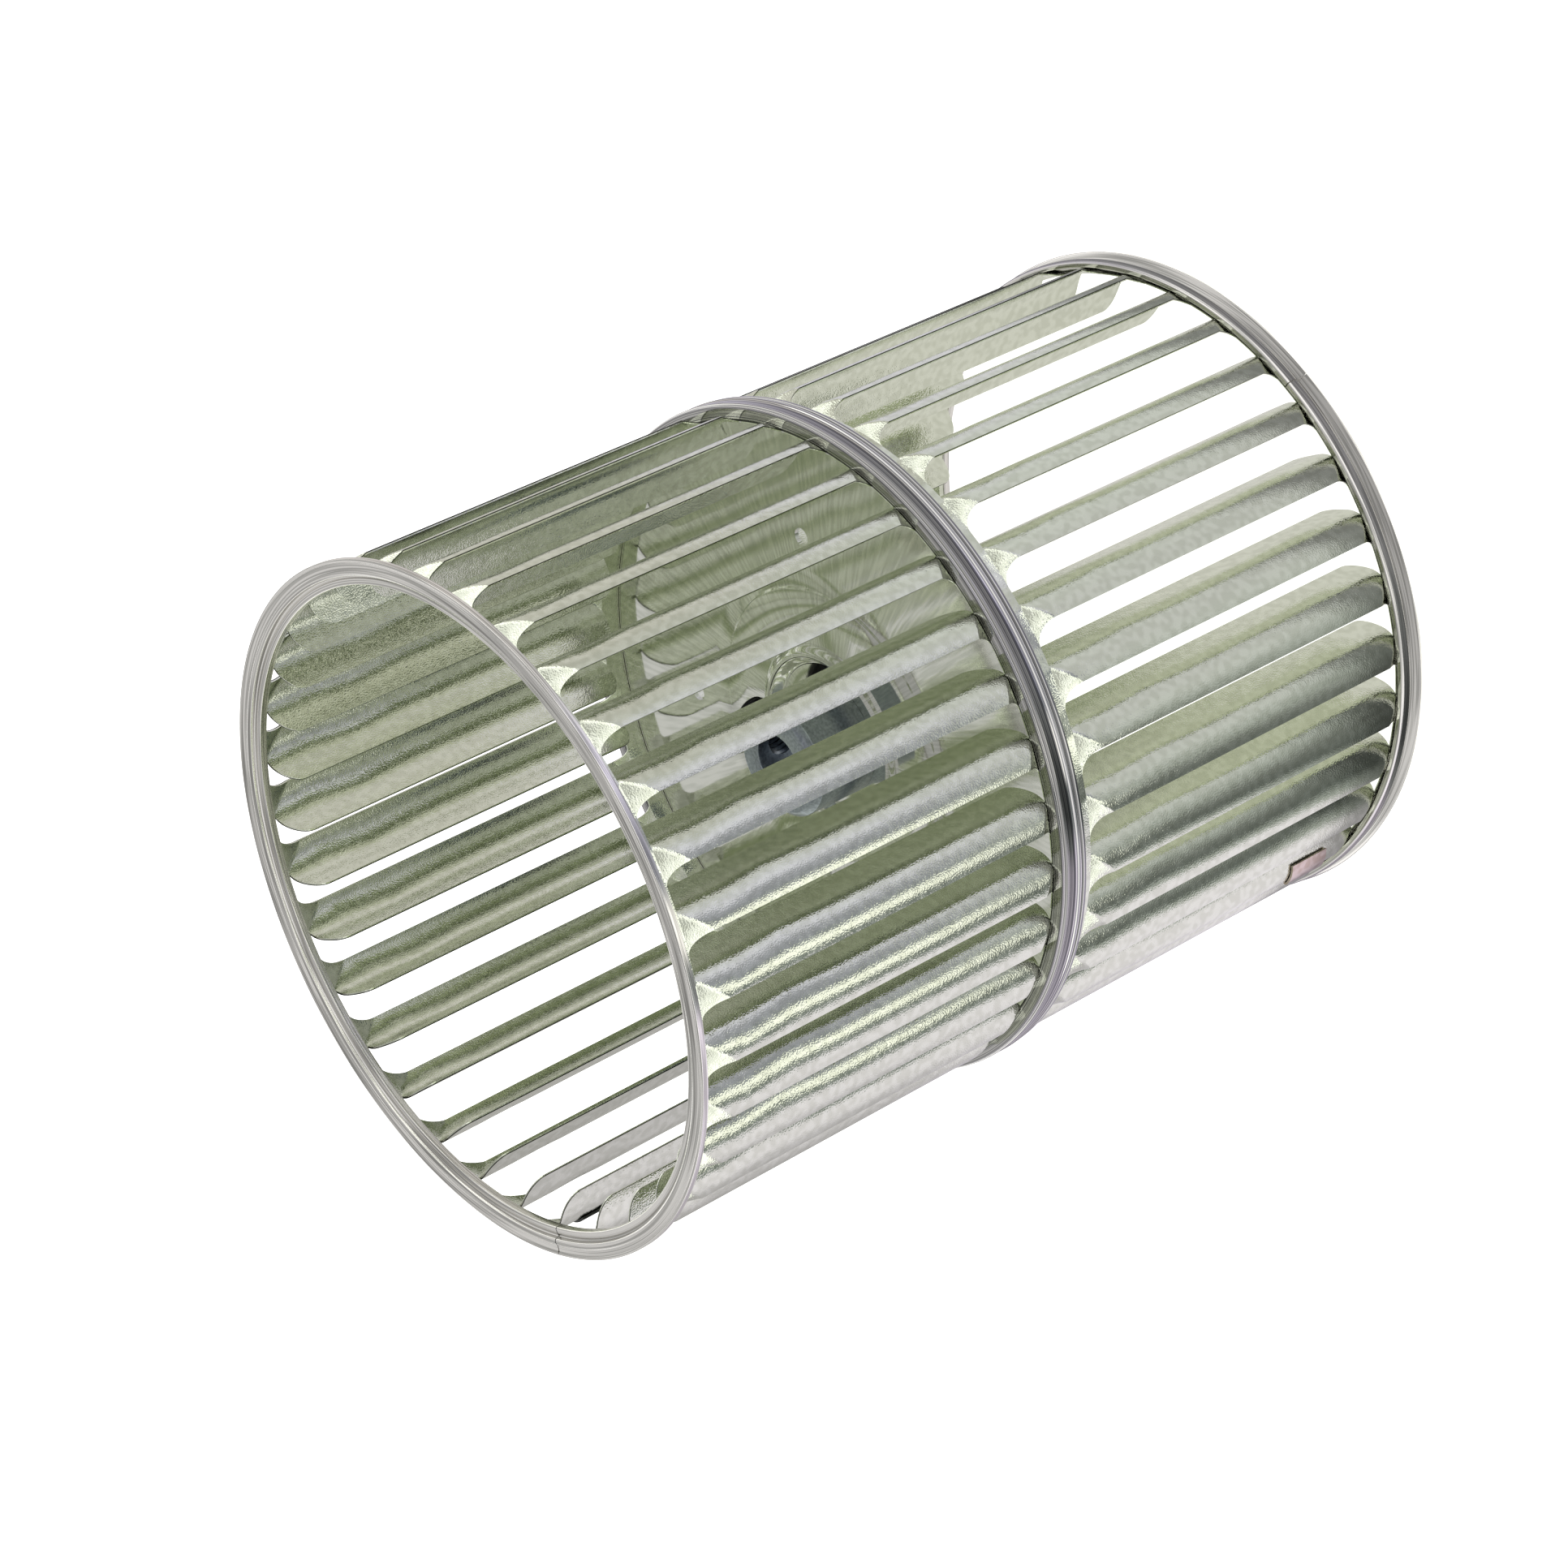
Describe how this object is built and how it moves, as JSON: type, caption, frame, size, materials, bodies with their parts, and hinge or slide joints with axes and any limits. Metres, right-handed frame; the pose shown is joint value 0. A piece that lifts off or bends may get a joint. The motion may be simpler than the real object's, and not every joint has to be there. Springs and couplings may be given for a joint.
{
  "type": "blower wheel",
  "caption": "Double-inlet blower wheel: two drums of forward-curved sheet steel blades on a central disc, end rings, and a hub with a set screw.",
  "frame": {"origin": "centre of the far end ring's flat lip, which is the lowest plane", "axes": "+Z along the shaft axis from the far end to the near end, which is the end with the hub's set screw"},
  "size_m": [0.15, 0.15, 0.1995],
  "materials": {
    "galvanised_strip": "galvanised, spangled, rolled",
    "galvanised_ring": "galvanised, rolled",
    "galvanised_disc": "galvanised, brushed by pressing",
    "zinc_plated_hub": "turned, zinc plated",
    "blackened_screw": "black oxide",
    "clip_steel": "spring steel, plain"
  },
  "bodies": {
    "root": {"near_blade_strip": "galvanised_strip", "far_blade_strip": "galvanised_strip", "near_end_ring": "galvanised_ring", "far_end_ring": "galvanised_ring", "centre_disc": "galvanised_disc", "hub": "zinc_plated_hub", "set_screw": "blackened_screw", "near_balance_clip": "clip_steel", "far_balance_clip": "clip_steel"}
  },
  "joints": []
}
